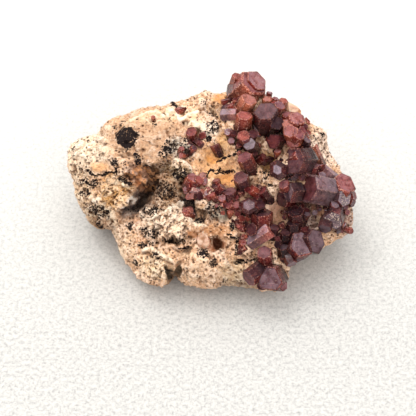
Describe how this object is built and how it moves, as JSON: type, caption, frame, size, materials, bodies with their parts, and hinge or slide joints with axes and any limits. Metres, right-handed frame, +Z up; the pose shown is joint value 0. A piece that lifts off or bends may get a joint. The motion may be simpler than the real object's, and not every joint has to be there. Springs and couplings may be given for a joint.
{
  "type": "vanadinite crystal specimen on matrix",
  "caption": "Loose mineral specimen: a pale, pitted rock matrix with glossy red-brown hexagonal vanadinite crystals grown over one side, resting on a flat underside.",
  "frame": {"origin": "on the flat underside, below the middle of the display face", "axes": "+X to the right along the specimen's longest side, +Y to the back, +Z up from the surface it rests on; the display face looks up and towards -Y"},
  "size_m": [0.0653, 0.0473, 0.0342],
  "materials": {
    "matrix_rock": "rough, porous carbonate rock, pale tan with ochre iron stains and black manganese specks",
    "vanadinite": "glossy, resinous to adamantine crystal faces, deep red-brown",
    "barite": "vitreous, translucent, pale brown"
  },
  "bodies": {
    "root": {"matrix": "matrix_rock", "crown_crystals": "vanadinite", "main_ridge_crystals": "vanadinite", "lower_ridge_crystals": "vanadinite", "bottom_crystals": "vanadinite", "middle_crystals": "vanadinite", "upper_crystals": "vanadinite", "step_crystals": "vanadinite", "chain_crystals": "vanadinite", "left_cluster_crystals": "vanadinite", "basin_twin_crystals": "vanadinite", "slope_trio_crystals": "vanadinite", "slope_twin_crystals": "vanadinite", "slope_crystal": "vanadinite", "column_crystal": "vanadinite", "shard_crystal": "vanadinite", "corner_crystal": "vanadinite", "mound_crystal": "vanadinite", "ledge_crystal": "vanadinite", "plateau_crystal": "vanadinite", "barite_crystal": "barite", "barite_blade": "barite"}
  },
  "joints": []
}
